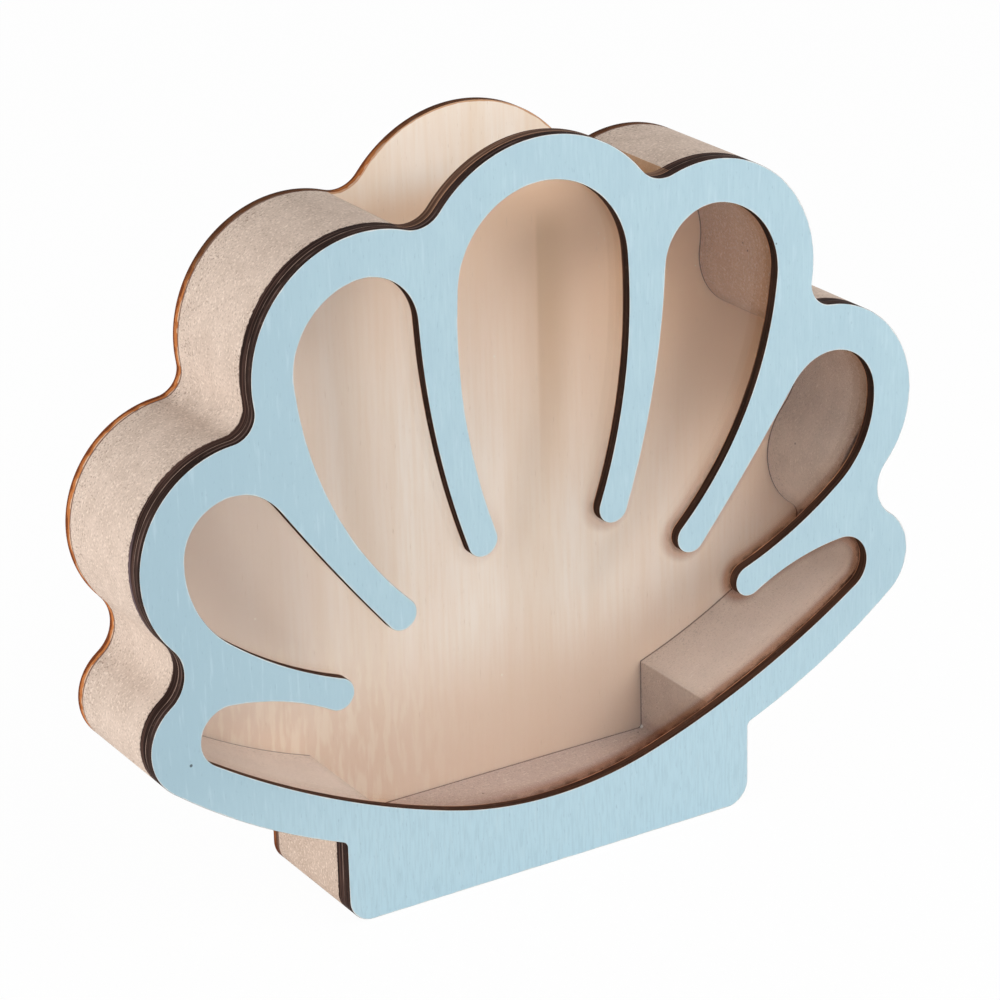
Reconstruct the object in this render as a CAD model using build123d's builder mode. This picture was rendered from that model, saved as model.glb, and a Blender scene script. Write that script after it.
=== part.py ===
from build123d import *
import math
import os

# Seashell display case: a scallop-shaped box with a window cut out in ribs.
# Its layers are glued face to face: a cut panel, a film of adhesive, a clear
# pane, a second film, a deep routed body that is open at the crown, and a back
# panel. Millimetres. X runs across the case, Y from front to back, Z up. The
# origin is under the middle of the foot, halfway through the depth.

# ---- layers, front to back ----
front_thickness = 3.0
adhesive_thickness = 0.25
pane_thickness = 3.0
body_depth = 33.5
back_thickness = 2.5

# ---- outline: round lobes, given by radius and centre ----
crown_radius = 39.5
crown_height = 167.5
shoulder_radius = 34.5
shoulder_out = 51.75
shoulder_height = 157.0
cheek_radius = 30.5
cheek_out = 89.5
cheek_height = 113.0
wing_radius = 15.0
wing_out = 105.0
wing_height = 64.75
flank_radius = 194.0

# ---- outline: rounding in the notches between the lobes ----
crown_notch_radius = 9.0
shoulder_notch_radius = 7.0
cheek_notch_radius = 10.5

# ---- foot ----
foot_half_width = 64.75
foot_corner_radius = 7.0
foot_notch_radius = 2.0
foot_notch_height = 23.25

# ---- body ----
wall_thickness = 10.5
floor_thickness = 11.0
pocket_nose_radius = 0.5
pocket_corner_radius = 1.0
mouth_half_width = 41.0

# ---- window: petals that follow the lobes ----
border = 12.0
wing_border = 14.25
crown_petal_radius = 26.0
shoulder_petal_radius = 22.5
shoulder_petal_inner_radius = 15.5
shoulder_petal_inner_angle = 77.0
cheek_petal_radius = 14.75
cheek_petal_angle = 32.0
cheek_petal_upper_radius = 19.5
cheek_petal_upper_angle = 127.0
cheek_petal_lower_radius = 30.5
cheek_petal_lower_angle = 3.0
wing_petal_radius = 8.5
sill_height = 20.25
sill_radius = 114.0
sill_flank_radius = 265.0

# ---- window: the three ribs on each side, given by the rounding of their tips ----
crown_rib_tip_radius = 4.5
crown_rib_tip_out = 20.5
crown_rib_tip_height = 100.5
shoulder_rib_tip_radius = 4.5
shoulder_rib_tip_out = 45.75
shoulder_rib_tip_height = 85.75
cheek_rib_tip_radius = 4.5
cheek_rib_tip_out = 65.25
cheek_rib_tip_height = 68.0

# ---- window: bend of the long edges of the ribs ----
crown_petal_side_radius = 168.0
crown_rib_outer_radius = 237.0
shoulder_petal_side_radius = 107.0
shoulder_rib_outer_radius = 680.0
cheek_petal_side_radius = 117.0
cheek_rib_outer_radius = 70.0


# An outline is drawn as a string pulled round discs, clockwise from the crown.
# A disc is (x, z, radius). The outline turns clockwise round a disc inside it.
# A disc outside it has a negative radius, and is passed anticlockwise.


def disc_between(first, second, radius):
    """Disc of the signed radius that touches two discs, on the side that the outline leaves free."""
    x, z, first_radius = first
    across_x, across_z = second[0] - x, second[1] - z
    span = math.hypot(across_x, across_z)
    first_reach = abs(radius - first_radius)
    second_reach = abs(radius - second[2])
    along = (first_reach**2 - second_reach**2 + span**2) / (2 * span)
    aside = math.copysign(math.sqrt(first_reach**2 - along**2), -radius)
    centre_x = x + (across_x * along - across_z * aside) / span
    centre_z = z + (across_z * along + across_x * aside) / span
    return (centre_x, centre_z, radius)


def disc_inside(disc, radius, angle, gap=0.0):
    """Disc of another radius that keeps the gap to the rim of a disc, towards the angle in degrees."""
    reach = disc[2] - gap - radius
    across = reach * math.cos(math.radians(angle))
    up = reach * math.sin(math.radians(angle))
    return (disc[0] + across, disc[1] + up, radius)


def pulled_in(disc, inset):
    """The same disc when the whole outline moves inwards."""
    return (disc[0], disc[1], disc[2] - inset)


def touching_point(first, second):
    """Where the outline passes from one disc to the next."""
    larger, smaller = (first, second) if abs(first[2]) > abs(second[2]) else (second, first)
    span = math.dist(larger[:2], smaller[:2])
    share = abs(larger[2]) / span
    x = larger[0] + (smaller[0] - larger[0]) * share
    z = larger[1] + (smaller[1] - larger[1]) * share
    return (x, z)


def draw_round(discs, start, end):
    """Draws the arcs round the discs, from start on the first one to end on the last one."""
    joints = [start] + [touching_point(a, b) for a, b in zip(discs, discs[1:])] + [end]
    for disc, here, there in zip(discs, joints, joints[1:]):
        x, z, radius = disc
        start_angle = math.atan2(here[1] - z, here[0] - x)
        end_angle = math.atan2(there[1] - z, there[0] - x)
        turn = (start_angle - end_angle) * math.copysign(1, radius) % (2 * math.pi)
        middle = start_angle - math.copysign(turn / 2, radius)
        on_arc = (x + abs(radius) * math.cos(middle), z + abs(radius) * math.sin(middle))
        ThreePointArc(here, on_arc, there)


# ---- the case's own outline ----
crown = (0, crown_height, crown_radius)
shoulder = (shoulder_out, shoulder_height, shoulder_radius)
cheek = (cheek_out, cheek_height, cheek_radius)
wing = (wing_out, wing_height, wing_radius)
foot_notch = (foot_half_width + foot_notch_radius, foot_notch_height, -foot_notch_radius)
crown_notch = disc_between(crown, shoulder, -crown_notch_radius)
shoulder_notch = disc_between(shoulder, cheek, -shoulder_notch_radius)
cheek_notch = disc_between(cheek, wing, -cheek_notch_radius)
flank = disc_between(wing, foot_notch, flank_radius)
lobes = [crown, crown_notch, shoulder, shoulder_notch, cheek, cheek_notch, wing, flank]


def draw_case(inset, base, notch_radius, corner_radius):
    """Right half of the outline, pulled in by inset, over a foot with its bottom at base."""
    side = foot_half_width - inset
    discs = [pulled_in(disc, inset) for disc in lobes]
    reach = discs[-1][2] + notch_radius
    notch_x = side + notch_radius
    notch_z = flank[1] - math.sqrt(reach**2 - (notch_x - flank[0])**2)
    top = (0, crown_height + crown_radius - inset)
    draw_round(discs + [(notch_x, notch_z, -notch_radius)], top, (side, notch_z))
    corner = (side - corner_radius, base + corner_radius, corner_radius)
    Line((side, notch_z), (side, corner[1]))
    draw_round([corner], (side, corner[1]), (corner[0], base))
    Line((corner[0], base), (0, base))


# ---- the window's outline ----
crown_petal = disc_inside(crown, crown_petal_radius, 90, border)
shoulder_petal = disc_inside(shoulder, shoulder_petal_radius, 90, border)
cheek_petal = disc_inside(cheek, cheek_petal_radius, cheek_petal_angle, border)
wing_petal = disc_inside(wing, wing_petal_radius, 0, wing_border)
shoulder_petal_inner = disc_inside(
    shoulder_petal, shoulder_petal_inner_radius, shoulder_petal_inner_angle
)
cheek_petal_upper = disc_inside(cheek_petal, cheek_petal_upper_radius, cheek_petal_upper_angle)
cheek_petal_lower = disc_inside(cheek_petal, cheek_petal_lower_radius, cheek_petal_lower_angle)
crown_rib_tip = (crown_rib_tip_out, crown_rib_tip_height, -crown_rib_tip_radius)
shoulder_rib_tip = (shoulder_rib_tip_out, shoulder_rib_tip_height, -shoulder_rib_tip_radius)
cheek_rib_tip = (cheek_rib_tip_out, cheek_rib_tip_height, -cheek_rib_tip_radius)
sill = (0, sill_height + sill_radius, sill_radius)
window_discs = [
    crown_petal,
    disc_between(crown_petal, crown_rib_tip, crown_petal_side_radius),
    crown_rib_tip,
    disc_between(crown_rib_tip, shoulder_petal_inner, -crown_rib_outer_radius),
    shoulder_petal_inner,
    shoulder_petal,
    disc_between(shoulder_petal, shoulder_rib_tip, shoulder_petal_side_radius),
    shoulder_rib_tip,
    disc_between(shoulder_rib_tip, cheek_petal_upper, -shoulder_rib_outer_radius),
    cheek_petal_upper,
    cheek_petal,
    cheek_petal_lower,
    disc_between(cheek_petal_lower, cheek_rib_tip, cheek_petal_side_radius),
    cheek_rib_tip,
    disc_between(cheek_rib_tip, wing_petal, cheek_rib_outer_radius),
    wing_petal,
    disc_between(wing_petal, sill, sill_flank_radius),
    sill,
]


def draw_window():
    """Right half of the window, from the top of the crown petal round the ribs to the sill."""
    top = (0, crown_petal[1] + crown_petal_radius)
    draw_round(window_discs, top, (0, sill_height))


# ---- the three faces that the layers are cut to ----
with BuildSketch() as case_face:
    with BuildLine():
        draw_case(0, 0, foot_notch_radius, foot_corner_radius)
        mirror(about=Plane.YZ)
    make_face()

# The wall follows the outline and stops on each side of the mouth, which is at the crown.
with BuildSketch() as wall_face:
    add(case_face.sketch)
    with BuildLine():
        draw_case(wall_thickness, floor_thickness, pocket_nose_radius, pocket_corner_radius)
        mirror(about=Plane.YZ)
    make_face(mode=Mode.SUBTRACT)
    with Locations((0, crown_height)):
        Rectangle(
            2 * mouth_half_width,
            2 * crown_radius,
            align=(Align.CENTER, Align.MIN),
            mode=Mode.SUBTRACT,
        )

with BuildSketch() as ribbed_face:
    add(case_face.sketch)
    with BuildLine():
        draw_window()
        mirror(about=Plane.YZ)
    make_face(mode=Mode.SUBTRACT)

# ---- where each layer starts, from the back of the case forwards ----
depth = front_thickness + pane_thickness + body_depth + back_thickness + 2 * adhesive_thickness
back_plane = Plane.XZ.offset(-depth / 2)
body_plane = back_plane.offset(back_thickness)
pane_adhesive_plane = body_plane.offset(body_depth)
pane_plane = pane_adhesive_plane.offset(adhesive_thickness)
front_adhesive_plane = pane_plane.offset(pane_thickness)
front_plane = front_adhesive_plane.offset(adhesive_thickness)

# ---- back panel: a thin sheet with the whole outline ----
with BuildPart() as back_panel:
    with BuildSketch(back_plane):
        add(case_face.sketch)
    extrude(amount=back_thickness)
back_panel.part.label = "back_panel"

# ---- routed body: the wall, which carries both faces and holds the depth ----
with BuildPart() as routed_body:
    with BuildSketch(body_plane):
        add(wall_face.sketch)
    extrude(amount=body_depth)
routed_body.part.label = "routed_body"

# ---- film that bonds the pane to the front of the wall ----
with BuildPart() as pane_adhesive:
    with BuildSketch(pane_adhesive_plane):
        add(wall_face.sketch)
    extrude(amount=adhesive_thickness)
pane_adhesive.part.label = "pane_adhesive"

# ---- clear pane: a sheet with the whole outline ----
with BuildPart() as window_pane:
    with BuildSketch(pane_plane):
        add(case_face.sketch)
    extrude(amount=pane_thickness)
window_pane.part.label = "window_pane"

# ---- film that bonds the front panel to the pane, cut with the same window ----
with BuildPart() as front_adhesive:
    with BuildSketch(front_adhesive_plane):
        add(ribbed_face.sketch)
    extrude(amount=adhesive_thickness)
front_adhesive.part.label = "front_adhesive"

# ---- front panel: the outline with the ribbed window cut out ----
with BuildPart() as front_panel:
    with BuildSketch(front_plane):
        add(ribbed_face.sketch)
    extrude(amount=front_thickness)
front_panel.part.label = "front_panel"

os.makedirs("parts", exist_ok=True)
pieces = [back_panel, routed_body, pane_adhesive, window_pane, front_adhesive, front_panel]
for piece in pieces:
    export_step(piece.part, f"parts/{piece.part.label}.step")
    size = piece.part.bounding_box().size
    volume = piece.part.volume / 1000
    print(f"{piece.part.label}: {len(piece.part.solids())} solid, {volume:.2f} cm3, {size}")
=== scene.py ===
# %% [markdown]
# # A seashell display case
# The case is a stack of flat layers, one behind the other, all cut to the same shell outline: a painted
# plywood front with a ribbed opening, a clear acrylic pane, a thick fibreboard body with a routed pocket
# and a birch plywood back. Two very thin sheets of glue hold the pane between its neighbours. The
# construction model already holds the true sizes and outlines. This script only dresses it.

import math

import bpy
import numpy as np
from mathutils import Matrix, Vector
from mathutils.geometry import delaunay_2d_cdt


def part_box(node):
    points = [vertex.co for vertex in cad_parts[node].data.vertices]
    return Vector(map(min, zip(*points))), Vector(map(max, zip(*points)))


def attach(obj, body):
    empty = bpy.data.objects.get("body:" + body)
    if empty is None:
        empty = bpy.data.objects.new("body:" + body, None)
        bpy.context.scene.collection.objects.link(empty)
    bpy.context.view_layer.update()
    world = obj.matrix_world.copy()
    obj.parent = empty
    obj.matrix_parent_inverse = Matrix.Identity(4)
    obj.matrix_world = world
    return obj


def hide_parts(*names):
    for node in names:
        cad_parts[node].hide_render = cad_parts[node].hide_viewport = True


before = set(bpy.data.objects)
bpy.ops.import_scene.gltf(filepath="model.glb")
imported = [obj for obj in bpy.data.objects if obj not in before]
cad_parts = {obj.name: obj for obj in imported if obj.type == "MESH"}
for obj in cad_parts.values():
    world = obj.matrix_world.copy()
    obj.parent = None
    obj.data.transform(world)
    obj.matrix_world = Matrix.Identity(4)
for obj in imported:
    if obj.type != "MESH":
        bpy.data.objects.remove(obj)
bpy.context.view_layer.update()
MM = 0.001
print("layers in the frame:", sorted(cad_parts))

# %% [markdown]
# ## Reading an outline from a layer
# Every layer is a flat sheet, so its shape is one outline carried straight back. The frame keeps each
# layer as loose triangles. A triangle of the sheet's side wall has exactly two corners on the front face,
# and those two corners are one short piece of the outline. Its stored normals tell which way is out at
# both ends. One could trace the outline again by hand, but reading it keeps the dressed layer exactly
# where the real one is.

# %% Read the outline
ON_FACE = 0.01 * MM  # a corner nearer than this to the front face lies on it


def outline_of(node):
    """Short straight segments of a layer's outline in the x-z plane, with the outward direction at both
    ends.

    Returns two arrays of shape (segments, 2 ends, 2): the places and the directions. Walking from the
    first end to the second keeps the solid on the same hand all round."""
    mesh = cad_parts[node].data
    places = np.empty(len(mesh.vertices) * 3, np.float32)
    mesh.vertices.foreach_get("co", places)
    places = places.reshape(-1, 3).astype(float)
    corners = np.empty(len(mesh.loops), np.int32)
    mesh.loops.foreach_get("vertex_index", corners)
    corners = corners.reshape(-1, 3)
    outward = np.empty(len(mesh.loops) * 3, np.float32)
    mesh.corner_normals.foreach_get("vector", outward)
    outward = outward.reshape(-1, 3, 3).astype(float)

    depth = places[corners][:, :, 1]
    on_front = depth - depth.min() < ON_FACE
    wall = on_front.sum(1) == 2
    lone = np.argmin(on_front[wall], axis=1)
    rows = np.arange(len(lone))[:, None]
    pair = (lone[:, None] + [1, 2]) % 3
    ends = places[corners[wall]][rows, pair][:, :, [0, 2]]
    directions = outward[wall][rows, pair][:, :, [0, 2]]
    directions /= np.linalg.norm(directions, axis=2, keepdims=True)
    return ends, directions


for name in sorted(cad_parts):
    ends, _ = outline_of(name)
    lengths = np.linalg.norm(ends[:, 1] - ends[:, 0], axis=1)
    print(f"{name}: {len(ends)} outline segments, {lengths.sum() / MM:.0f} mm round in all")

# %% [markdown]
# ## Smoothing the outline
# The laser follows true curves, but the frame keeps them as short straight segments, and light on the cut
# edge would show every one. A Subdivision Surface modifier could round them, but it would round the sharp
# corners as well. Here each segment is bent by itself, so that it leaves both ends at right angles to the
# outward directions there. Neighbours along a curve share a direction and join smoothly. At a true corner
# their directions differ, so it stays sharp.

# %% Smooth the outline
SAME_POINT = 0.001 * MM  # segment ends closer than this are one point


def curved(ends, directions, parts):
    """Bends every straight segment into a smooth curve and cuts it into equal parts.

    The curve is a Hermite cubic: it leaves each end at right angles to the outward direction there, at a
    speed equal to the segment's length, which for a short arc is the arc itself to within a few
    thousandths of a millimetre. Returns places and outward directions of shape (segments, parts + 1, 2)."""
    s = np.linspace(0.0, 1.0, parts + 1)[None, :, None]
    p0, p1 = ends[:, :1], ends[:, 1:]
    length = np.linalg.norm(p1 - p0, axis=2, keepdims=True)
    along = np.stack([directions[..., 1], -directions[..., 0]], axis=-1) * length
    t0, t1 = along[:, :1], along[:, 1:]
    places = (
        (2 * s**3 - 3 * s**2 + 1) * p0
        + (s**3 - 2 * s**2 + s) * t0
        + (3 * s**2 - 2 * s**3) * p1
        + (s**3 - s**2) * t1
    )
    out = (1 - s) * directions[:, :1] + s * directions[:, 1:]
    return places, out / np.linalg.norm(out, axis=2, keepdims=True)


def weld(places, out):
    """Joins the curve ends that meet.

    Returns the points, the mitre at each (the outward direction, longer at a corner, so that an inset of
    1 mm keeps every side 1 mm in) and the numbers of each curve's points."""
    flat = np.round(places.reshape(-1, 2) / SAME_POINT).astype(np.int64)
    _, first, numbers = np.unique(flat, axis=0, return_index=True, return_inverse=True)
    numbers = numbers.reshape(places.shape[:2])
    mean = np.zeros((len(first), 2))
    np.add.at(mean, numbers.ravel(), out.reshape(-1, 2))
    mean /= np.bincount(numbers.ravel(), minlength=len(first))[:, None]
    return places.reshape(-1, 2)[first], mean / (mean**2).sum(1, keepdims=True), numbers


points, _, _ = weld(*curved(*outline_of("front_panel"), 3))
print("points round the smoothed front panel:", len(points))

# %% [markdown]
# ## Telling the outer edge from an opening's edge
# Soot settles on the two kinds of edge in different ways, and the inside of the pocket gets painted light
# and shade of its own, so each needs its own colours. A layer's outline holds both kinds and doesn't say
# which is which. The pane has no opening, so its outline is the outside of the shell, and any edge that
# lies well inside it belongs to an opening. The distance is measured to the segments, not to their ends,
# because the straight sides of the foot are one long segment each.

# %% Find the openings
SHELL = outline_of("window_pane")[0]
WELL_INSIDE = 3 * MM


def in_opening(points):
    """True where a point of an outline lies well inside the shell's outer outline.

    The nearest place on a segment is its start plus a share of its span. The share is the point's
    distance along the span over the span's length, kept between 0 and 1."""
    start, span = SHELL[:, 0], SHELL[:, 1] - SHELL[:, 0]
    share = ((points[:, None] - start) * span).sum(axis=2) / (span**2).sum(axis=1)
    nearest = start + np.clip(share, 0.0, 1.0)[..., None] * span
    return np.linalg.norm(points[:, None] - nearest, axis=2).min(axis=1) > WELL_INSIDE


print("of which round openings:", in_opening(points).sum())

# %% [markdown]
# ## The profile of a cut edge
# A cut sheet never has a perfectly sharp edge: the saw or the laser leaves it eased by a tenth or two of
# a millimetre, and that tiny round is what catches the light. A Bevel modifier could make it, but on a
# face with this many fine corners it crowds. Here the edge's profile is a short list of (inset, depth)
# points that is carried along the outline, so the round is exact and every corner of it has its true
# normal.


# %% Profile of an edge
def edge_profile(front, back, ease, rim, steps=3):
    """The side of a sheet from its front face to its back face, as rows of (inset, depth, tilt).

    Inset is how far a row lies inside the outline, depth is its y, and tilt is the angle by which its
    normal leans from sideways to the front (negative) or the back (positive). Each eased edge is a
    quarter circle of radius ease. A rim row lies further in on each face, and holds the narrow margin
    that wears or scorches."""
    turn = np.linspace(math.pi / 2, 0.0, steps + 1)
    rows = [(rim, front, -math.pi / 2)] if rim else []
    rows += [(ease * (1 - math.cos(a)), front + ease * (1 - math.sin(a)), -a) for a in turn]
    rows += [(ease * (1 - math.cos(a)), back - ease * (1 - math.sin(a)), a) for a in turn[::-1]]
    rows += [(rim, back, math.pi / 2)] if rim else []
    return np.array(rows)


def side_normals(out, tilt):
    """The normals at the four corners of every quad on a sheet's side: the outward direction times the
    cosine of the row's tilt, plus the y direction times its sine."""
    row = np.arange(len(tilt) - 1)

    def leaning(outward, rows):
        sideways = outward[:, None] * np.cos(tilt[rows])[None, :, None]
        back = np.broadcast_to(np.sin(tilt[rows])[None, :], sideways.shape[:2])
        return np.stack([sideways[..., 0], back, sideways[..., 1]], axis=-1)

    start, end = out[:, :-1].reshape(-1, 2), out[:, 1:].reshape(-1, 2)
    corners = [leaning(start, row), leaning(end, row), leaning(end, row + 1), leaning(start, row + 1)]
    return np.stack(corners, axis=2).reshape(-1, 3)


print("rows in a profile with a rim:", len(edge_profile(0.0, 3 * MM, 0.15 * MM, 1 * MM)))

# %% [markdown]
# ## Filling the flat faces
# The front and the back of a sheet are flat, but their outline has hundreds of points and the front panel
# has holes in it. One big many-sided face can't have a hole, so the face is cut into triangles that use
# only the outline's own points. The pane's face gets two more rings of points along a painted band of
# shade and reflection, so that a value kept at the points can fade between the rings.

# %% Fill a flat face
EXACT = 1e-9  # metres: points of the triangulation are never closer than this


def fill_between(places, joins, rings=()):
    """Triangles that fill the outline: a Delaunay triangulation that keeps every join as an edge, less
    the triangles outside it. A triangle is inside when a ray from its centre crosses the outline an odd
    number of times. Rings are more edges to keep, drawn on the sheet itself."""
    edges = joins.tolist() + list(rings)
    made = delaunay_2d_cdt([Vector(p) for p in places], edges, [], 0, EXACT)
    points, triangles = np.array(made[0]), np.array(made[2])
    if len(points) != len(places):
        raise ValueError("the outline crosses itself")
    centre = points[triangles].mean(1)
    a, b = places[joins[:, 0]], places[joins[:, 1]]
    spans = (a[:, 1] > centre[:, None, 1]) != (b[:, 1] > centre[:, None, 1])
    rise = np.where(b[:, 1] == a[:, 1], 1.0, b[:, 1] - a[:, 1])
    cross_x = a[:, 0] + (centre[:, None, 1] - a[:, 1]) * (b[:, 0] - a[:, 0]) / rise
    inside = (spans & (centre[:, None, 0] < cross_x)).sum(1) % 2 == 1
    triangles = triangles[inside]
    e1 = points[triangles[:, 1]] - points[triangles[:, 0]]
    e2 = points[triangles[:, 2]] - points[triangles[:, 0]]
    clockwise = e1[:, 0] * e2[:, 1] - e1[:, 1] * e2[:, 0] < 0
    triangles[clockwise] = triangles[clockwise][:, ::-1]
    return triangles


def shade_rings(node, wide):
    """Two rings on the sheet behind an opening: its outline, and the same outline drawn in by wide.

    Returns their points, the outer ring first, and the joins along both."""
    points, mitre, numbers = weld(*curved(*outline_of(node), 1))
    inner = in_opening(points)
    new = np.cumsum(inner) - 1
    joins = np.stack([numbers[:, 0], numbers[:, 1]], axis=1)
    joins = new[joins[inner[joins].all(axis=1)]]
    rings = np.concatenate([points[inner], points[inner] + wide * mitre[inner]])
    return rings, np.concatenate([joins, joins + inner.sum()])


# the width of the painted band of shade and reflection that the pane carries behind the openings
SHADE_WIDTH = 4.5 * MM
rings = shade_rings("front_panel", SHADE_WIDTH)
print("points on the two rings of the stain:", len(rings[0]))

# %% [markdown]
# ## Building a sheet
# A finished sheet is the profile carried round the outline, with both faces filled. It also keeps three
# values at its points for the materials to read: how near a point is to the rim, whether it belongs to an
# opening, and how deep in the painted band of shade it lies. A texture could hold them too, but a value at
# a point needs no unwrapping and goes wherever the outline goes.


# %% Build a sheet
def make_piece(name, node, vertices, faces, slots, normals, masks, materials):
    """A mesh object from its arrays. It rides on the case and stands in for the frame's node."""
    mesh = bpy.data.meshes.new(name)
    mesh.from_pydata(vertices.tolist(), [], faces)
    mesh.polygons.foreach_set("material_index", slots.astype(np.int32))
    mesh.polygons.foreach_set("use_smooth", np.ones(len(faces), bool))
    mesh.normals_split_custom_set(normals.tolist())
    for label, values in masks.items():
        attribute = mesh.attributes.new(label, "FLOAT", "POINT")
        attribute.data.foreach_set("value", values.astype(np.float32))
    for material in materials:
        mesh.materials.append(material)
    piece = bpy.data.objects.new(name, mesh)
    bpy.context.scene.collection.objects.link(piece)
    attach(piece, "root")
    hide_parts(node)
    return piece


def cut_sheet(name, node, materials, ease, rim, parts=3, clear=0.0, painted_shade=None):
    """A layer with eased edges, from the node's own outline and thickness.

    materials are for the front face, the edge and the back face. clear draws both faces back by a hair,
    where a clear neighbour would otherwise share the very same surface. The last argument is a pair of rings
    on the front face that holds a painted band of shade and reflection; the attribute named like it is 1 on
    the first ring and outside it, and falls to 0 on the second."""
    low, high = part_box(node)
    profile = edge_profile(low.y + clear, high.y - clear, ease, rim)
    places, out = curved(*outline_of(node), parts)
    base, mitre, numbers = weld(places, out)
    count, rows = len(base), len(profile)
    ring_points, ring_joins = painted_shade if painted_shade else (np.zeros((0, 2)), np.zeros((0, 2), int))

    flat = base[:, None] - mitre[:, None] * profile[None, :, :1]
    depth = np.broadcast_to(profile[None, :, 1], (count, rows))
    side = np.stack([flat[..., 0], depth, flat[..., 1]], axis=-1).reshape(-1, 3)
    ring_depth = np.full(len(ring_points), profile[0, 1])
    on_rings = np.stack([ring_points[:, 0], ring_depth, ring_points[:, 1]], axis=1)

    start, end = numbers[:, :-1].ravel(), numbers[:, 1:].ravel()
    row = np.arange(rows - 1)
    at_start, at_end = start[:, None] * rows + row, end[:, None] * rows + row
    quads = np.stack([at_start, at_end, at_end + 1, at_start + 1], axis=-1).reshape(-1, 4)
    joins = np.stack([start, end], axis=1)
    back = fill_between(flat[:, 0], joins)[:, ::-1] * rows + rows - 1
    on_front = np.concatenate([np.arange(count) * rows, count * rows + np.arange(len(ring_points))])
    with_rings = np.concatenate([flat[:, 0], ring_points])
    front = on_front[fill_between(with_rings, joins, (ring_joins + count).tolist())]
    faces = quads.tolist() + front.tolist() + back.tolist()

    per_strip = np.full(rows - 1, 1)
    per_strip[: 2 if rim else 1], per_strip[-1] = 0, 2
    slots = np.concatenate([np.tile(per_strip, len(start)), np.zeros(len(front)), np.full(len(back), 2)])
    to_front = np.tile([0.0, -1.0, 0.0], (front.size, 1))
    to_back = np.tile([0.0, 1.0, 0.0], (back.size, 1))
    normals = np.concatenate([side_normals(out, profile[:, 2]), to_front, to_back])
    on_first_ring = np.arange(len(ring_points)) < len(ring_points) / 2
    no_mark = np.zeros(len(ring_points))
    masks = {
        "rim": np.append(np.tile(profile[:, 0] < (rim or 1.0), count), no_mark),
        "opening": np.append(np.repeat(in_opening(base), rows), no_mark),
        "painted_shade": np.append(np.tile(profile[:, 1] == profile[0, 1], count), on_first_ring),
    }
    vertices = np.concatenate([side, on_rings])
    print(f"{name}: {count} points round, {rows} rows, {len(faces)} faces")
    return make_piece(name, node, vertices, faces, slots, normals, masks, materials)


# %% [markdown]
# ## Small tools for shaders
# Shader trees are long to write out by hand, so one short function adds a node, sets it and joins it up.
# Colours are given as they look on a screen and turned into the linear values that the renderer adds and
# multiplies. Every finish here is a base colour with others laid over it, one after the other, each where
# a factor between 0 and 1 lets it through.


# %% Nodes and colours
def tone(red, green, blue):
    """A screen colour, 0 to 255, as linear light: ((c + 0.055) / 1.055) ^ 2.4, and c / 12.92 when very
    dark."""
    screen = np.array([red, green, blue]) / 255
    linear = np.where(screen <= 0.04045, screen / 12.92, ((screen + 0.055) / 1.055) ** 2.4)
    return (*linear.tolist(), 1.0)


def fill_inputs(tree, node, inputs):
    """Gives each named input of a node its value: a plain one, or another node's output to join to it."""
    for slot, value in inputs.items():
        if isinstance(value, bpy.types.NodeSocket):
            tree.links.new(value, node.inputs[slot])
        else:
            node.inputs[slot].default_value = value


def add(tree, kind, inputs=None, **settings):
    """One shader node with its settings and its inputs."""
    node = tree.nodes.new("ShaderNode" + kind)
    for name, value in settings.items():
        setattr(node, name, value)
    fill_inputs(tree, node, inputs or {})
    return node


def blend(tree, share, base, other):
    """The base colour, turned into the other one where share is 1."""
    return add(tree, "Mix", {0: share, 6: base, 7: other}, data_type="RGBA").outputs[2]


print("a mid grey of 128 is linear", round(tone(128, 128, 128)[0], 3))


# %% Factors
def maths(tree, operation, first, second=0.0):
    """The result of one sum."""
    return add(tree, "Math", {0: first, 1: second}, operation=operation).outputs[0]


def times(tree, first, *others):
    """The product of several factors, which is 1 only where all of them are."""
    for other in others:
        first = maths(tree, "MULTIPLY", first, other)
    return first


def ramp(tree, value, low, high):
    """0 below low, 1 above high, and an even slope with soft ends between them. Low may be the larger
    one."""
    inputs = {"Value": value, "From Min": low, "From Max": high}
    return add(tree, "MapRange", inputs, interpolation_type="SMOOTHSTEP").outputs["Result"]


def zone(tree, distance, begins, full):
    """A ramp along a distance in metres, with its two ends given in millimetres."""
    return ramp(tree, distance, begins * MM, full * MM)


def spot(tree, place, middle, begins, full):
    """A round spot: 1 nearer to its middle than full and 0 further away than begins, in millimetres."""
    middle = tuple(value * MM for value in middle)
    away = add(tree, "VectorMath", {0: place, 1: middle}, operation="DISTANCE").outputs["Value"]
    return zone(tree, away, begins, full)


# %% Materials
def begin(name, roughness, gloss=0.5):
    """A new material: its tree and the place on the object in metres.

    Gloss is the shader's specular level, 0.5 for a sealed surface and less for bare, open fibres or soot."""
    material = bpy.data.materials.new(name)
    material.use_nodes = True
    tree = material.node_tree
    shader = tree.nodes["Principled BSDF"]
    fill_inputs(tree, shader, {"Roughness": roughness, "Specular IOR Level": gloss})
    return material, tree, add(tree, "TexCoord").outputs["Object"]


def axes(tree, place):
    """The place as three distances in metres: across to the right, deep towards the back, and up."""
    return add(tree, "SeparateXYZ", {0: place}).outputs


def lay_over(tree, base, layers):
    """Lays colours over a base, one after the other. A layer is the factor that says where it goes, its
    colour on a screen, and its strength."""
    for where, cover, strength in layers:
        share = where if strength == 1 else times(tree, where, strength)
        base = blend(tree, share, base, tone(*cover))
    return base


def paint(material, colour):
    """Joins the finished colour to the material's main shader."""
    tree = material.node_tree
    tree.links.new(colour, tree.nodes["Principled BSDF"].inputs["Base Color"])
    print(f"{material.name}: {len(tree.nodes)} nodes")


def emboss(material, height, depth):
    """Raises the surface by depth where the height is 1."""
    tree = material.node_tree
    lifted = add(tree, "Bump", {"Height": height, "Distance": depth, "Strength": 1.0})
    tree.links.new(lifted.outputs[0], tree.nodes["Principled BSDF"].inputs["Normal"])
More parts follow.
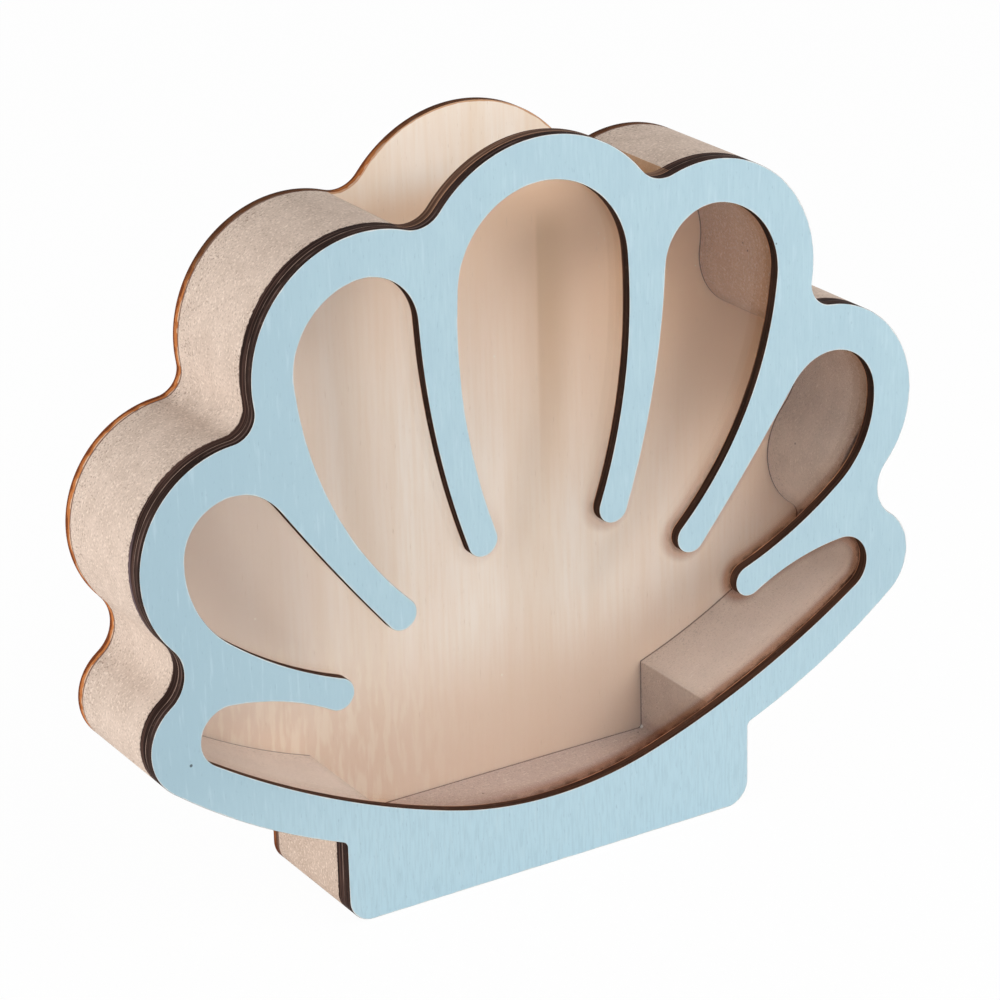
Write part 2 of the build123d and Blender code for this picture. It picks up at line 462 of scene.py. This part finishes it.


# %% [markdown]
# ## Effects that several materials share
# Wood grain, the streaks of a cut edge and the clouds in a coat of paint are all the same thing: noise,
# often drawn out along one direction. Flecks of lint, specks of dust and pits are one thing too: a few
# small dots, each in its own cell of a scattered pattern. Wear and a painted highlight along an edge, and
# the scorched fringe that a laser leaves, all follow the margin of a face. Each is one node group, so it
# is built once and given other numbers in each material.


# %% Effects and streaks
def effect(name, inputs, output):
    """An empty node group with named sockets. Returns its tree, its inputs and the socket that it puts
    out."""
    tree = bpy.data.node_groups.new(name, "ShaderNodeTree")
    for socket, kind, value in inputs:
        made = tree.interface.new_socket(socket, in_out="INPUT", socket_type="NodeSocket" + kind)
        made.default_value = value
    tree.interface.new_socket(output, in_out="OUTPUT", socket_type="NodeSocketFloat")
    return tree, tree.nodes.new("NodeGroupInput").outputs, tree.nodes.new("NodeGroupOutput").inputs[0]


def place_effect(tree, group, inputs):
    """One use of an effect in a material."""
    node = tree.nodes.new("ShaderNodeGroup")
    node.node_tree = group
    fill_inputs(tree, node, inputs)
    return node.outputs[0]


streaks_group, ins, out = effect(
    "streaks",
    [
        ("Place", "Vector", (0, 0, 0)),
        ("Per Metre", "Vector", (100, 100, 100)),
        ("Low", "Float", 0.35),
        ("High", "Float", 0.65),
    ],
    "Streaks",
)
stretch = {0: ins["Place"], 1: ins["Per Metre"]}
drawn = add(streaks_group, "VectorMath", stretch, operation="MULTIPLY").outputs[0]
cloud = add(streaks_group, "TexNoise", {"Vector": drawn, "Scale": 1.0, "Detail": 2.0, "Roughness": 0.5})
streaks_group.links.new(ramp(streaks_group, cloud.outputs[0], ins["Low"], ins["High"]), out)


def streaks(tree, place, per_metre, low=0.35, high=0.65):
    """Noise with so many waves to the metre along x, y and z: 0 where it is below low, 1 above high."""
    inputs = {"Place": place, "Per Metre": per_metre, "Low": low, "High": high}
    return place_effect(tree, streaks_group, inputs)


# %% Specks
specks_group, ins, out = effect(
    "specks",
    [
        ("Place", "Vector", (0, 0, 0)),
        ("Per Metre", "Float", 200.0),
        ("Size", "Float", 0.1),
        ("Share", "Float", 0.1),
    ],
    "Specks",
)
cells = add(specks_group, "TexVoronoi", {"Vector": ins["Place"], "Scale": ins["Per Metre"]})
core = maths(specks_group, "MULTIPLY", ins["Size"], 0.6)
near = ramp(specks_group, cells.outputs["Distance"], ins["Size"], core)
pick = add(specks_group, "SeparateColor", {0: cells.outputs["Color"]}).outputs[0]
kept = maths(specks_group, "LESS_THAN", pick, ins["Share"])
specks_group.links.new(maths(specks_group, "MULTIPLY", near, kept), out)


def specks(tree, place, per_metre, size, share):
    """Dots in a pattern of so many cells to the metre. Size is a dot's radius as a part of its cell, and
    share is the part of the cells that hold one."""
    inputs = {"Place": place, "Per Metre": per_metre, "Size": size, "Share": share}
    return place_effect(tree, specks_group, inputs)


# %% Margins
margin_group, ins, out = effect(
    "margin",
    [
        ("Place", "Vector", (0, 0, 0)),
        ("Rim", "Float", 0.0),
        ("Reach", "Float", 0.5),
        ("Ragged", "Float", 0.3),
    ],
    "Margin",
)
cloud = add(margin_group, "TexNoise", {"Vector": ins["Place"], "Scale": 350.0, "Detail": 2.0})
centred = maths(margin_group, "SUBTRACT", cloud.outputs[0], 0.5)
wander = maths(margin_group, "MULTIPLY", centred, ins["Ragged"])
start = maths(margin_group, "SUBTRACT", 1.0, maths(margin_group, "ADD", ins["Reach"], wander))
edge = ramp(margin_group, ins["Rim"], start, maths(margin_group, "ADD", start, 0.25))
margin_group.links.new(edge, out)


def mask(tree, label):
    """One of the values that cut_sheet keeps at the mesh's points."""
    return add(tree, "Attribute", attribute_name=label).outputs["Fac"]


def margin(tree, place, reach, ragged):
    """A margin that starts at the edge and reaches so far over the rim, with a ragged inner side."""
    rim = mask(tree, "rim")
    return place_effect(tree, margin_group, {"Place": place, "Rim": rim, "Reach": reach, "Ragged": ragged})


MOUTH_HALF_WIDTH = 41.1 * MM
MOUTH_BOTTOM = 160 * MM


def at_mouth(tree, across, up):
    """A factor that is 1 at the crown, across the width of the wall's mouth, and 0 elsewhere."""
    middle = maths(tree, "LESS_THAN", maths(tree, "ABSOLUTE", across), MOUTH_HALF_WIDTH)
    return maths(tree, "MULTIPLY", middle, maths(tree, "GREATER_THAN", up, MOUTH_BOTTOM))


print("shared effects:", [group.name for group in bpy.data.node_groups])

# %% [markdown]
# ## Slow tints
# Light that enters the pocket meets warm wood many times before it leaves, and the lamps reach some sides
# of the case more than others, so a real case is warmer, lighter or darker in some places than in others,
# over and above its shadows. More lamps could do that, but each one spoils another place. In the paint,
# the fibreboard and the birch, slow tints between two distances are painted light and painted shade
# instead. They are part of the colours, so they stay where they are when the lamps move.

# %% [markdown]
# ## Pale blue paint
# The front is plywood under one thin coat of pale blue paint. The grain still shows as fine upright
# lines, with short darker dashes where the pores were, a few dark specks and a pin hole low on the left.
# At the cut a margin a fraction of a millimetre wide shows almost white: partly chipped paint, partly a
# painted highlight on the eased edge. The coat is painted darker towards the left as shade, and lighter
# at the foot as light.
# A picture of painted wood could be laid on it, but noise in three dimensions needs no unwrapping.

# %% Blue paint
PIN_HOLE = (-109, -21.25, 59.7)
blue_paint, tree, place = begin("blue_paint", 0.62, 0.35)
across, _, up = axes(tree, place)
# painted shade towards the left and painted light at the foot
painted_shade_left, painted_foot_shading = zone(tree, across, -30, -120), zone(tree, up, 60, 20)
cloudy = streaks(tree, place, (110, 1, 55), 0.3, 0.7)
fine = streaks(tree, place, (1500, 1, 150), 0.38, 0.72)
pale = streaks(tree, place, (900, 1, 90), 0.55, 0.75)
dashes = streaks(tree, place, (1900, 1, 420), 0.62, 0.74)
dots = specks(tree, place, 95.0, 0.04, 0.1)
# a pale margin at the cut: partly chipped paint, partly a painted highlight on the eased edge
chips_and_highlight = margin(tree, place, 0.22, 0.7)
base = blend(tree, cloudy, tone(176, 203, 213), tone(172, 199, 210))
layers = [
    # the next two are painted shade on the left and painted light at the foot
    (painted_shade_left, (164, 192, 204), 1),
    (painted_foot_shading, (182, 210, 221), 1),
    (fine, (166, 194, 206), 0.55),
    (pale, (190, 213, 222), 0.45),
    (dashes, (140, 168, 184), 0.45),
    (dots, (91, 107, 117), 0.75),
    (chips_and_highlight, (226, 224, 218), 0.75),
    (spot(tree, place, PIN_HOLE, 0.55, 0.3), (84, 96, 104), 1),
]
paint(blue_paint, lay_over(tree, base, layers))
emboss(blue_paint, fine, 0.01 * MM)

# %% [markdown]
# ## Laser-cut edges
# A laser chars the edge of plywood: dark brown all over, with the plies as lighter and darker lines that
# run along the cut. Because every edge runs in the x-z plane and the plies lie in y, noise that is fine
# in y and slow in x and z makes lines that follow the outline wherever it turns, with no unwrapping. The
# middle ply shows through here and there on the outside, and the openings are browner, most of all low
# down.

# %% Charred edge
burnt_edge, tree, place = begin("burnt_edge", 0.8, 0.03)
_, deep, up = axes(tree, place)
plies = streaks(tree, place, (45, 1500, 45), 0.35, 0.68)
middle_ply = times(tree, zone(tree, deep, -20.2, -19.9), zone(tree, deep, -19.4, -19.7))
showing = times(tree, middle_ply, streaks(tree, place, (70, 1, 70), 0.45, 0.68))
outer = blend(tree, plies, tone(38, 27, 23), tone(62, 46, 41))
outer = blend(tree, showing, outer, tone(104, 84, 78))
inner = blend(tree, plies, tone(48, 33, 27), tone(72, 50, 40))
low_inner = blend(tree, plies, tone(62, 41, 31), tone(86, 59, 46))
inner = blend(tree, zone(tree, up, 110, 60), inner, low_inner)
base = blend(tree, mask(tree, "opening"), outer, inner)
soot = streaks(tree, place, (700, 700, 700), 0.58, 0.8)
paint(burnt_edge, lay_over(tree, base, [(soot, (104, 80, 68), 0.4)]))
emboss(burnt_edge, plies, 0.02 * MM)

# %% [markdown]
# ## Sheets of glue
# The two films of glue are a quarter of a millimetre thick. The front one shows between the charred layers
# as a paler line that soot covers in places. It is warmer round the openings, and at the wall's mouth it is
# painted lighter and warmer, as painted light that shows through from behind. The rear one has drawn up
# loose fibres from the board, and is paler on the right. They could be left out as too thin to see, but
# that pale line is what tells the eye that the case is glued up from sheets.

# %% Glue
film_line, tree, place = begin("film_line", 0.6, 0.1)
across, _, up = axes(tree, place)
bare = streaks(tree, place, (110, 300, 110), 0.38, 0.64)
outer = blend(tree, bare, tone(60, 45, 40), tone(150, 126, 114))
# painted light at the wall's mouth, for light that shows through from behind
outer = blend(tree, at_mouth(tree, across, up), outer, tone(176, 132, 104))
inner = blend(tree, bare, tone(150, 100, 74), tone(214, 150, 112))
paint(film_line, blend(tree, mask(tree, "opening"), outer, inner))

film_face, tree, place = begin("film_face", 0.5, 0.3)
smeared = streaks(tree, place, (260, 260, 260), 0.4, 0.65)
paint(film_face, blend(tree, smeared, tone(72, 50, 40), tone(112, 80, 62)))

fibre_film, tree, place = begin("fibre_film", 0.7, 0.2)
bare = streaks(tree, place, (900, 900, 900), 0.4, 0.62)
base = blend(tree, bare, tone(112, 90, 80), tone(208, 188, 174))
# paler on the right
paler_right = zone(tree, axes(tree, place)[0], 0, 30)
paint(fibre_film, lay_over(tree, base, [(paler_right, (226, 202, 186), 0.7)]))

# %% [markdown]
# ## Clear acrylic
# The pane refracts: its faces are polished, with the index of refraction of acrylic, 1.49. A renderer
# that follows refraction finds no lamp through it, so light on its way to a surface goes straight through
# instead. Its gloss is tinted down by two fifths, to keep the studio's reflection faint. Real acrylic
# reflects that much more. Along the lower and right-hand edges of the openings, where the walls stand
# behind, its colour holds painted shade and a painted reflection of the dark walls: a brown haze
# between the two rings, almost black at the outer one.

# %% Pane
ACRYLIC_INDEX = 1.49
FAINT_GLOSS = (0.58, 0.58, 0.58, 1)
CLEAR, SHADE_TINT, DEEP_SHADE_TINT = (1, 1, 1, 1), (0.48, 0.26, 0.18, 1), (0.09, 0.04, 0.025, 1)
acrylic, tree, place = begin("acrylic", 0.0)
across, _, up = axes(tree, place)
painted_shade = mask(tree, "painted_shade")
cloud = streaks(tree, place, (260, 260, 260), 0.3, 0.7)
patchy = maths(tree, "ADD", times(tree, cloud, 0.22), 0.84)
# where the painted shade and reflection of the walls lies: low down and to the right
low_right = times(tree, zone(tree, up, 135, 65), zone(tree, across, -45, 15))
soft_shade = times(tree, ramp(tree, painted_shade, 0.0, 0.7), low_right)
deep_shade = times(tree, ramp(tree, times(tree, painted_shade, patchy), 0.6, 1.0), low_right)
paint(acrylic, blend(tree, deep_shade, blend(tree, soft_shade, CLEAR, SHADE_TINT), DEEP_SHADE_TINT))
shader = tree.nodes["Principled BSDF"]
clear_inputs = {"IOR": ACRYLIC_INDEX, "Specular Tint": FAINT_GLOSS, "Transmission Weight": 1.0}
fill_inputs(tree, shader, clear_inputs)
through = add(tree, "BsdfTransparent").outputs[0]
shadow = add(tree, "LightPath").outputs["Is Shadow Ray"]
both = add(tree, "MixShader", {0: shadow, 1: shader.outputs[0], 2: through})
tree.links.new(both.outputs[0], tree.nodes["Material Output"].inputs[0])

# %% [markdown]
# ## The pane's edge
# The laser cut the pane's edge too. Clear acrylic should show what lies inside it there, but between two
# charred layers it reads as dark brown with fine lines along it and a few pale chips, so it gets a
# material of its own with no glass in it. Above the wall's mouth nothing dark stands behind it, so it is
# painted a lighter brown there, for the light that shows through from behind. A faint lilac sheen along
# its rear third on the left is a painted reflection of the white surround.

# %% Edge of the pane
pane_edge, tree, place = begin("pane_edge", 0.6, 0.02)
across, deep, up = axes(tree, place)
lines = streaks(tree, place, (45, 1300, 45), 0.42, 0.66)
dark = blend(tree, lines, tone(38, 25, 21), tone(78, 57, 50))
# painted light at the mouth, for light that shows through from behind
painted_backlit = blend(tree, lines, tone(80, 57, 46), tone(128, 98, 79))
base = blend(tree, at_mouth(tree, across, up), dark, painted_backlit)
level = times(tree, zone(tree, up, 84, 98), zone(tree, up, 128, 116))
# a painted reflection of the white surround along the left
painted_sheen = times(tree, level, zone(tree, across, -90, -105), zone(tree, deep, -16.4, -15.8))
chips_and_highlight = specks(tree, place, 75.0, 0.05, 0.12)
layers = [(painted_sheen, (118, 100, 106), 0.6), (chips_and_highlight, (225, 222, 218), 1)]
paint(pane_edge, lay_over(tree, base, layers))
emboss(pane_edge, lines, 0.02 * MM)

# %% [markdown]
# ## Fibreboard
# The deep body is raw fibreboard: beige, matt and full of short pale fibres and tiny grey-brown specks,
# which are thicker towards its front and back edges and fainter inside the pocket. Flecks of lint cling
# to it high inside. The end faces at the mouth are orange: partly the cut's own colour and partly painted
# warm shade. A dark joint runs along the back edge, and a drop of white glue has dried in the pocket's
# lower right corner. Inside, painted warm shade lies high up, painted light low beside the foot and
# painted shade on the pocket's floor; outside, painted shade lies on the foot. The same board lines the
# inside, so one material serves all its faces, and the value that marks an opening tells the inside from
# the outside.

# %% Fibreboard: where its tints go
GLUE_SPOT = (54.4, 17.8, 11.2)
fibreboard, tree, place = begin("fibreboard", 0.85, 0.15)
across, deep, up = axes(tree, place)
inside = mask(tree, "opening")
outside = maths(tree, "SUBTRACT", 1.0, inside)
beside = zone(tree, maths(tree, "ABSOLUTE", across), 52, 58)
# where painted warm shade goes, high inside the pocket
high = times(tree, inside, zone(tree, up, 100, 135))
# where painted light goes, low inside beside the foot
low = times(tree, inside, beside, zone(tree, up, 90, 75))
# where painted shade goes, on the pocket's floor
shaded_pocket_floor = times(tree, inside, zone(tree, up, 16, 13))
# where painted shade goes, on the outside of the foot
painted_foot_shading = times(tree, outside, zone(tree, up, 48, 40))
near_edge = maths(tree, "MAXIMUM", zone(tree, deep, 6, 18), zone(tree, deep, -11, -14.5))
calm = maths(tree, "SUBTRACT", 1.0, times(tree, inside, 0.5))
thick = times(tree, maths(tree, "ADD", 0.4, times(tree, near_edge, 0.45)), calm)
joint = zone(tree, deep, 17.9, 18.3)

# %% Fibreboard: its texture and colours
mottle = streaks(tree, place, (140, 140, 140), 0.3, 0.7)
pale = streaks(tree, place, (1300, 1300, 1300), 0.5, 0.72)
fibres = streaks(tree, place, (420, 1700, 700), 0.62, 0.76)
dark = streaks(tree, place, (1700, 1700, 1700), 0.52, 0.72)
pits = specks(tree, place, 330.0, 0.14, 0.035)
lint = specks(tree, place, 500.0, 0.12, 0.2)
base = blend(tree, mottle, tone(206, 186, 171), tone(196, 176, 161))
layers = [
    # the next four are painted warm shade, painted light, and painted shade on the floor and the foot
    (high, (196, 132, 76), 0.45),
    (low, (238, 218, 204), 0.5),
    (shaded_pocket_floor, (198, 174, 162), 1),
    (painted_foot_shading, (172, 147, 126), 0.25),
    (times(tree, pale, calm), (229, 211, 196), 0.75),
    (fibres, (236, 220, 206), 0.6),
    (times(tree, dark, thick), (138, 118, 106), 1),
    (pits, (98, 80, 72), 0.7),
    (times(tree, lint, high), (250, 226, 202), 0.5),
    (joint, (92, 56, 42), 0.85),
    # end faces at the mouth: partly the cut's own colour, partly painted warm shade
    (at_mouth(tree, across, up), (188, 146, 106), 0.7),
    (spot(tree, place, GLUE_SPOT, 0.9, 0.6), (252, 250, 248), 1),
]
paint(fibreboard, lay_over(tree, base, layers))
emboss(fibreboard, maths(tree, "SUBTRACT", pale, dark), 0.04 * MM)

# %% [markdown]
# ## Birch plywood
# The back is a cream sheet of birch with a very fine upright grain and slow bands of tone from the
# veneer. On its inner side a darker strip right of the middle is partly the veneer's own and partly a
# painted shadow of a rib; a pale flame figure lies low on the left, and lint clings to it at the upper
# right. The laser left an orange fringe along its faces. The tints there are the slow ones, painted warm
# shade towards the upper right and painted shade at the left and the foot.

# %% Birch: where its tints go
INNER_SIDE = 20 * MM
birch, tree, place = begin("birch", 0.6, 0.2)
across, deep, up = axes(tree, place)
inner = maths(tree, "LESS_THAN", deep, INNER_SIDE)
slanting = maths(tree, "ADD", up, times(tree, across, 0.77))
# painted warm shade towards the upper right of the inner face
painted_warm_shade = times(tree, inner, zone(tree, slanting, 100, 200), zone(tree, up, 190, 178))
# painted shade at the left of the inner face
painted_shade_left = times(tree, inner, zone(tree, across, -15, -85))
# painted shade at the foot of the inner face
painted_foot_shading = times(tree, inner, zone(tree, up, 62, 28))
# a darker strip: partly the veneer's own, partly a painted shadow of a rib
strip_sides = times(tree, zone(tree, across, 21.4, 22.8), zone(tree, across, 36, 25))
strip_ends = times(tree, zone(tree, up, 70, 150), zone(tree, up, 176, 166))
veneer_and_shadow_strip = times(tree, inner, strip_sides, strip_ends)
low_left = times(tree, inner, zone(tree, up, 75, 45), zone(tree, across, 10, -50))
upper_right = times(tree, inner, zone(tree, across, 30, 45), zone(tree, up, 120, 150))

# %% Birch: its grain and colours
cloudy = streaks(tree, place, (60, 1, 25), 0.3, 0.7)
grain = streaks(tree, place, (800, 1, 45), 0.35, 0.72)
veneer = streaks(tree, place, (75, 1, 3), 0.45, 0.62)
pores = streaks(tree, place, (1900, 1, 300), 0.64, 0.76)
flame = streaks(tree, place, (420, 1, 90), 0.45, 0.62)
dust = specks(tree, place, 130.0, 0.05, 0.09)
lint = specks(tree, place, 500.0, 0.12, 0.14)
base = blend(tree, cloudy, tone(254, 240, 225), tone(252, 234, 217))
layers = [
    (grain, (243, 217, 190), 0.33),
    (veneer, (241, 213, 183), 0.35),
    # the next four are painted warm shade, painted shade on the left, a partly painted rib shadow, and
    # painted shade at the foot
    (painted_warm_shade, (248, 206, 170), 1),
    (painted_shade_left, (230, 208, 190), 0.9),
    (veneer_and_shadow_strip, (224, 182, 138), 0.55),
    (painted_foot_shading, (236, 205, 178), 0.8),
    (pores, (206, 175, 144), 0.3),
    (times(tree, flame, low_left), (255, 241, 220), 0.4),
    (dust, (252, 240, 222), 0.8),
    (times(tree, lint, upper_right), (255, 244, 228), 0.7),
    (margin(tree, place, 0.5, 0.6), (196, 136, 84), 0.8),
]
paint(birch, lay_over(tree, base, layers))
emboss(birch, grain, 0.01 * MM)

# %% [markdown]
# ## The birch sheet's edge
# The edge of the back was charred less than the front's. It runs from cream on the inner side through
# orange to dark brown at the back face, with wandering borders between them. It is darker along the tops
# of the crown and the shoulders, and its inner half is dark at the foot.

# %% Edge of the birch sheet
birch_edge, tree, place = begin("birch_edge", 0.8, 0.05)
across, deep, up = axes(tree, place)
lines = streaks(tree, place, (60, 1300, 60), 0.35, 0.65)
patches = streaks(tree, place, (260, 260, 260), 0.4, 0.65)
wandering = maths(tree, "ADD", deep, times(tree, patches, 0.8 * MM))
crown = zone(tree, maths(tree, "ABSOLUTE", across), 44, 34)
below_top = maths(tree, "SUBTRACT", up, times(tree, crown, 24 * MM))
inner_foot = times(tree, zone(tree, up, 30, 22), zone(tree, deep, 20.3, 19.9))
base = blend(tree, lines, tone(166, 96, 50), tone(190, 120, 70))
layers = [
    (zone(tree, wandering, 19.4, 19.0), (204, 172, 146), 1),
    (zone(tree, wandering, 20.0, 20.8), (112, 58, 30), 1),
    (zone(tree, below_top, 166, 183), (64, 42, 30), 0.85),
    (inner_foot, (70, 46, 42), 0.85),
]
paint(birch_edge, lay_over(tree, base, layers))

# %% [markdown]
# ## The six layers
# Each layer is built from its own outline and takes its own materials for front, edge and back. The laser
# leaves an edge eased by a tenth of a millimetre or so. A sheet of glue has almost no round at all, and
# both its faces are drawn back by a hair, because two surfaces in the very same place would flicker.

# %% The six layers
PLY_EASE, PANE_EASE, BOARD_EASE, FILM_EASE = 0.15 * MM, 0.1 * MM, 0.2 * MM, 0.02 * MM
PLY_RIM, PANE_RIM, NO_RIM = 1.0 * MM, 0.5 * MM, 0.0
HAIR = 0.01 * MM
ply_materials = [blue_paint, burnt_edge, birch]
front_panel = cut_sheet("front_panel_painted", "front_panel", ply_materials, PLY_EASE, PLY_RIM)
film_materials = [film_face, film_line, film_face]
front_film = cut_sheet("front_film", "front_adhesive", film_materials, FILM_EASE, NO_RIM, clear=HAIR)
pane_materials = [acrylic, pane_edge, acrylic]
pane = cut_sheet("clear_pane", "window_pane", pane_materials, PANE_EASE, PANE_RIM, painted_shade=rings)
pane_film = cut_sheet("pane_film", "pane_adhesive", [fibre_film] * 3, FILM_EASE, NO_RIM, clear=HAIR)
body = cut_sheet("fibreboard_body", "routed_body", [fibreboard] * 3, BOARD_EASE, NO_RIM)
back = cut_sheet("birch_back", "back_panel", [birch, birch_edge, birch], PLY_EASE, PLY_RIM)

# %% [markdown]
# ## The camera
# A long lens, about 130 mm, stands a metre away, to the left of the case and a little above it, and looks
# down on it. A long lens keeps the depth of the body from growing towards the viewer. The case is
# symmetric, so its outline and the mirror image of it fix where the camera has to stand.

# %% Camera
CAMERA_PLACE = (-0.47016, -0.76896, 0.46415)
CAMERA_TURN_DEGREES = (68.0096, 1.3419, -31.8723)
camera = bpy.data.objects.new("camera", bpy.data.cameras.new("camera"))
bpy.context.scene.collection.objects.link(camera)
camera.location = CAMERA_PLACE
camera.rotation_euler = [math.radians(angle) for angle in CAMERA_TURN_DEGREES]
camera.data.lens = 129.81
camera.data.sensor_width = 36.0
camera.data.clip_start = 0.05
camera.data.clip_end = 20.0
bpy.context.scene.camera = camera
print("camera at", [round(v, 3) for v in camera.location], "lens", camera.data.lens, "mm")

# %% [markdown]
# ## Soft studio light
# Most of the light is a pale surround that is brightest at eye level and dimmer overhead, so the tops of
# the scallops are a little darker than their sides. A soft lamp in front, high on the right, throws the
# shadows of the ribs on the back of the case, and a wide one above it reaches the pocket's floor. A lamp
# on the left lifts the fibreboard, and a small near one lifts the right of the painted front. Together
# they light a colour about as it is written, and no more.

# %% Lamps
MIDDLE = Vector((0, 0, 0.1))


def soft_light(name, place, side, power):
    """A square lamp with sides of so many metres that faces the middle of the case."""
    data = bpy.data.lights.new(name, "AREA")
    data.size = side
    data.energy = power
    lamp = bpy.data.objects.new(name, data)
    bpy.context.scene.collection.objects.link(lamp)
    lamp.location = place
    aim = MIDDLE - Vector(place)
    lamp.rotation_euler = aim.to_track_quat("-Z", "Y").to_euler()
    print(f"{name}: {power} W, {aim.length:.2f} m away")


soft_light("front_key", (0.25, -1.1, 0.8), 0.3, 2.03)
soft_light("top_fill", (0.0, -0.7, 1.0), 0.7, 1.25)
soft_light("side_fill", (-1.3, 0.0, 0.15), 0.4, 8.8)
soft_light("right_fill", (0.45, -0.45, 0.5), 0.3, 1.3)

# %% [markdown]
# ## The surround
# What the viewer sees behind the case, in a gloss or through the pane, is plain white. What lights the
# case is the surround's own light, from its full strength at eye level to less than a third of it
# overhead. One background can't be both, so two of them are mixed by the kind of ray that asks.

# %% Surround
AT_EYE_LEVEL, OVERHEAD = 1.07, 0.31


def seen_white(tree):
    """1 for rays that see the studio itself: straight from the camera, in a gloss, or through the pane.

    A ray that has already bounced off a matt surface is lighting something, so it counts as 0."""
    path = add(tree, "LightPath").outputs
    seen = maths(tree, "MAXIMUM", path["Is Camera Ray"], path["Is Glossy Ray"])
    seen = maths(tree, "MAXIMUM", seen, path["Is Transmission Ray"])
    return maths(tree, "MULTIPLY", seen, maths(tree, "LESS_THAN", path["Diffuse Depth"], 0.5))


world = bpy.data.worlds.new("studio")
bpy.context.scene.world = world
world.use_nodes = True
tree = world.node_tree
white = tree.nodes["Background"]
fill_inputs(tree, white, {"Color": (1, 1, 1, 1), "Strength": 1.0})
height = axes(tree, add(tree, "TexCoord").outputs["Generated"])[2]
falling = {"Value": height, "From Min": 0.0, "From Max": 1.0, "To Min": AT_EYE_LEVEL, "To Max": OVERHEAD}
level = add(tree, "MapRange", falling).outputs["Result"]
ambient = add(tree, "Background", {"Color": (1, 1, 1, 1), "Strength": level})
shown = add(tree, "MixShader", {0: seen_white(tree), 1: ambient.outputs[0], 2: white.outputs[0]})
tree.links.new(shown.outputs[0], tree.nodes["World Output"].inputs[0])
print("surround:", AT_EYE_LEVEL, "at eye level and", OVERHEAD, "overhead")

# %% [markdown]
# ## The floor
# The case stands on a plain white table that runs out of the picture. To the camera it is white with a
# faint trace of the shadow under the foot; to the object it is an ordinary pale surface that throws light
# back up.

# %% Floor
FLOOR_REACH = 4.0
SHOWN_WHITE = 0.97  # the rest is the table's own shading, which keeps the shadow
floor_mesh = bpy.data.meshes.new("floor")
near_side = [(-FLOOR_REACH, -FLOOR_REACH, 0), (FLOOR_REACH, -FLOOR_REACH, 0)]
far_side = [(FLOOR_REACH, FLOOR_REACH, 0), (-FLOOR_REACH, FLOOR_REACH, 0)]
floor_mesh.from_pydata(near_side + far_side, [], [(0, 1, 2, 3)])
floor = bpy.data.objects.new("floor", floor_mesh)
bpy.context.scene.collection.objects.link(floor)
floor_material, tree, _ = begin("floor", 0.9)
shader = tree.nodes["Principled BSDF"]
fill_inputs(tree, shader, {"Base Color": (0.88, 0.88, 0.88, 1)})
glow = add(tree, "Emission", {"Strength": 1.0}).outputs[0]
share = maths(tree, "MULTIPLY", seen_white(tree), SHOWN_WHITE)
shown = add(tree, "MixShader", {0: share, 1: shader.outputs[0], 2: glow})
tree.links.new(shown.outputs[0], tree.nodes["Material Output"].inputs[0])
floor_mesh.materials.append(floor_material)
print("floor:", round(2 * FLOOR_REACH, 1), "m wide")

# %% [markdown]
# ## Finishing
# The dressed layers should be no bigger than the construction model. They differ by a few hundredths of a
# millimetre, because the frame's flat facets cut the corners off the curves that the dressed layers
# follow. Here the scene is set to the Standard view transform.

# %% Finish
scene = bpy.context.scene
scene.view_settings.view_transform = "Standard"
